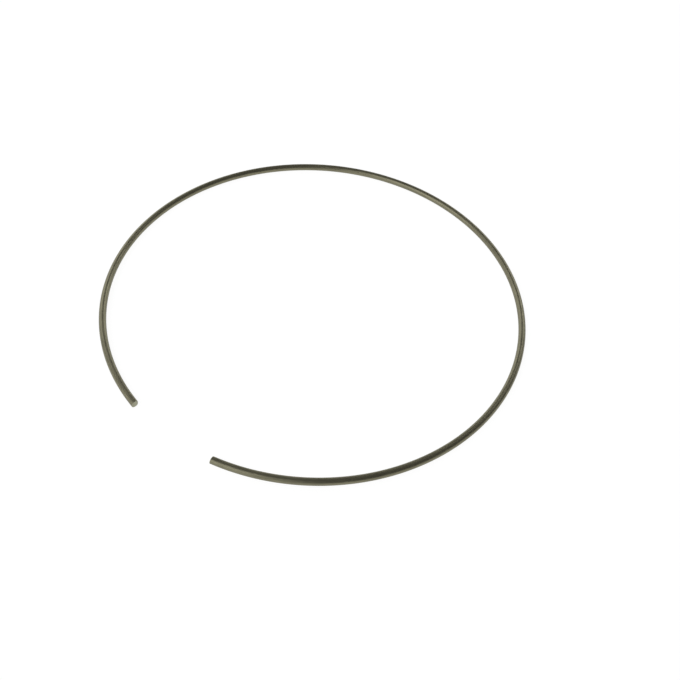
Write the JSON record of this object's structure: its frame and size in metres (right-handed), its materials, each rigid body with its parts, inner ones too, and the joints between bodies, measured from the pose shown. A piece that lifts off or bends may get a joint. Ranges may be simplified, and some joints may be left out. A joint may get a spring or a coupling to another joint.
{
  "type": "round-wire snap ring",
  "caption": "Open snap ring (circlip) of round spring steel wire with a wide gap between two cropped ends.",
  "frame": {"origin": "centre of the ring, in the middle plane of the wire", "axes": "+Z along the ring's axis, up as it lies flat; the gap between the ends is centred on -Y, and +X is to the right seen from the gap"},
  "size_m": [0.12, 0.1185, 0.002],
  "materials": {
    "spring_wire": "dark olive-grey satin, oil-tempered spring wire with fine draw lines; bare grey steel on the cropped ends"
  },
  "bodies": {
    "root": {"snap_ring": "spring_wire"}
  },
  "joints": []
}
